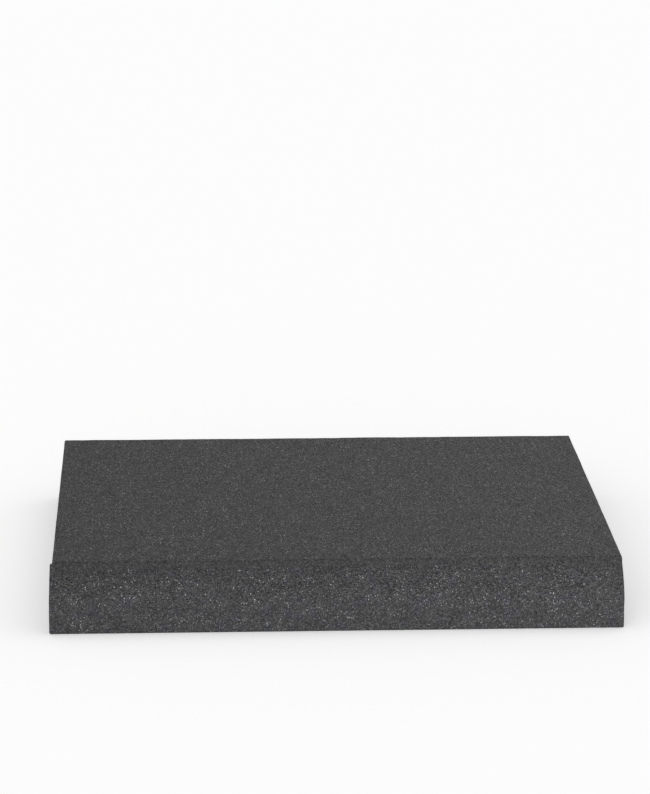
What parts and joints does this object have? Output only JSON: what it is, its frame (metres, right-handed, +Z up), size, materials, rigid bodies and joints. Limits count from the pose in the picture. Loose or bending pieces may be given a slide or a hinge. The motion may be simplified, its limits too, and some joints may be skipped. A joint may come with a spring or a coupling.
{
  "type": "speaker isolation pad",
  "caption": "Flat rectangular block of charcoal foam with a rounded, set-back front edge, which carries a studio loudspeaker and damps what passes into the desk.",
  "frame": {"origin": "centre of the pad's box on its underside, where it rests on the desk", "axes": "+X along the width, to the right seen from the front; -Y out of the front edge; +Z up out of the top"},
  "size_m": [0.4, 0.348, 0.0465],
  "materials": {
    "charcoal_foam": "matt cut face of fine-celled charcoal foam, with small glints in the cell walls"
  },
  "bodies": {
    "root": {"foam_pad": "charcoal_foam"}
  },
  "joints": []
}
